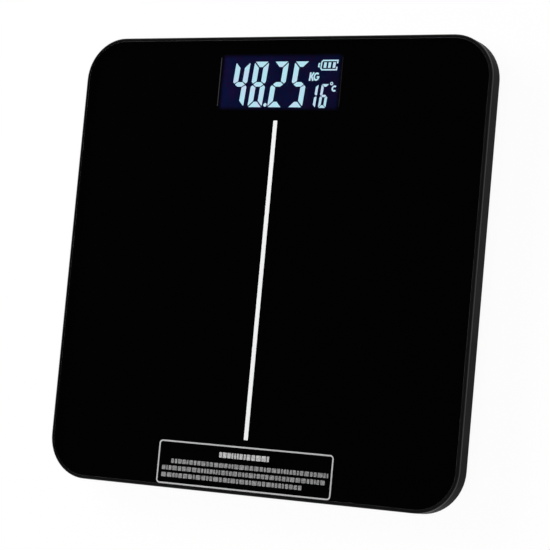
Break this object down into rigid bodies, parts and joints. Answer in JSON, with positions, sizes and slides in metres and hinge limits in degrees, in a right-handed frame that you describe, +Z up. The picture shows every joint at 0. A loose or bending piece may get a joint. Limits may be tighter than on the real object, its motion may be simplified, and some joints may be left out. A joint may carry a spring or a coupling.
{
  "type": "digital bathroom scale",
  "caption": "Square glass-topped electronic scale with a lit display, a moulded tray, load cells in its feet, a unit button and a battery door.",
  "frame": {"origin": "on the floor under the middle of the scale", "axes": "+Z up out of the glass, +Y towards the display's edge, +X to the reader's right"},
  "size_m": [0.28, 0.28, 0.022],
  "materials": {
    "tray_plastic": "black moulded ABS, fine satin texture",
    "platform_glass": "tempered glass, polished, black print on its back",
    "foam_tape": "double-sided foam tape",
    "display_glass": "negative liquid-crystal panel, navy when lit from behind",
    "frame_plastic": "black moulded frame",
    "black_foam": "foam gasket",
    "clear_acrylic": "clear acrylic light guide",
    "white_film": "white reflector film",
    "led_white": "side-looking LED package",
    "zebra_rubber": "layered conductive elastomer",
    "board_laminate": "green solder mask on glass-fibre laminate",
    "screw_steel": "zinc-plated",
    "chip_epoxy": "black epoxy",
    "board_parts": "ceramic and metal parts",
    "sensor_glass": "amber glass bead on tinned leads",
    "switch_plastic": "black moulded",
    "plunger_plastic": "red-brown moulded",
    "button_plastic": "dark grey moulded",
    "cell_jacket": "plain printed jacket",
    "contact_nickel": "nickel-plated spring steel",
    "foot_plastic": "black moulded",
    "pad_rubber": "soft rubber pad",
    "cell_steel": "zinc-plated stamped steel",
    "gauge_silicone": "white silicone sealing",
    "wire_black": "thin PVC insulation",
    "wire_red": "thin PVC insulation"
  },
  "bodies": {
    "scale_body": {"base_tray": "tray_plastic", "glass_platform": "platform_glass", "glass_tape": "foam_tape", "lcd_panel": "display_glass", "lcd_frame": "frame_plastic", "lcd_gasket": "black_foam", "backlight_guide": "clear_acrylic", "backlight_film": "white_film", "backlight_leds": "led_white", "zebra_strip": "zebra_rubber", "main_board": "board_laminate", "board_screws": "screw_steel", "chip_blob": "chip_epoxy", "board_parts": "board_parts", "temperature_sensor": "sensor_glass", "unit_switch": "switch_plastic", "battery_cells": "cell_jacket", "battery_link": "contact_nickel", "battery_positive": "contact_nickel", "battery_negative": "contact_nickel", "battery_wires": "wire_red", "load_cell_front_left": "cell_steel", "gauge_seal_front_left": "gauge_silicone", "cell_wires_front_left": "wire_black", "load_cell_front_right": "cell_steel", "gauge_seal_front_right": "gauge_silicone", "cell_wires_front_right": "wire_black", "load_cell_back_left": "cell_steel", "gauge_seal_back_left": "gauge_silicone", "cell_wires_back_left": "wire_black", "load_cell_back_right": "cell_steel", "gauge_seal_back_right": "gauge_silicone", "cell_wires_back_right": "wire_black"},
    "unit_button": {"unit_button": "button_plastic", "switch_plunger": "plunger_plastic"},
    "battery_door": {"battery_door": "tray_plastic"},
    "foot_front_left": {"foot_cup_front_left": "foot_plastic", "foot_pad_front_left": "pad_rubber"},
    "foot_front_right": {"foot_cup_front_right": "foot_plastic", "foot_pad_front_right": "pad_rubber"},
    "foot_back_left": {"foot_cup_back_left": "foot_plastic", "foot_pad_back_left": "pad_rubber"},
    "foot_back_right": {"foot_cup_back_right": "foot_plastic", "foot_pad_back_right": "pad_rubber"}
  },
  "joints": [
    {"name": "unit_button_press", "type": "slide", "parent": "scale_body", "child": "unit_button", "axis": [0, 0, 1], "range_m": [0, 0.0005], "stiffness_N_per_m": 3000},
    {"name": "battery_door_swing", "type": "hinge", "parent": "scale_body", "child": "battery_door", "pos_m": [0, 0.03505, 0.003], "axis": [-1, 0, 0], "range_deg": [0, 75]},
    {"name": "foot_front_left_travel", "type": "slide", "parent": "scale_body", "child": "foot_front_left", "axis": [0, 0, 1], "range_m": [0, 0.0005], "stiffness_N_per_m": 700000, "deforming": ["load_cell_front_left"]},
    {"name": "foot_front_right_travel", "type": "slide", "parent": "scale_body", "child": "foot_front_right", "axis": [0, 0, 1], "range_m": [0, 0.0005], "stiffness_N_per_m": 700000, "deforming": ["load_cell_front_right"]},
    {"name": "foot_back_left_travel", "type": "slide", "parent": "scale_body", "child": "foot_back_left", "axis": [0, 0, 1], "range_m": [0, 0.0005], "stiffness_N_per_m": 700000, "deforming": ["load_cell_back_left"]},
    {"name": "foot_back_right_travel", "type": "slide", "parent": "scale_body", "child": "foot_back_right", "axis": [0, 0, 1], "range_m": [0, 0.0005], "stiffness_N_per_m": 700000, "deforming": ["load_cell_back_right"]}
  ]
}
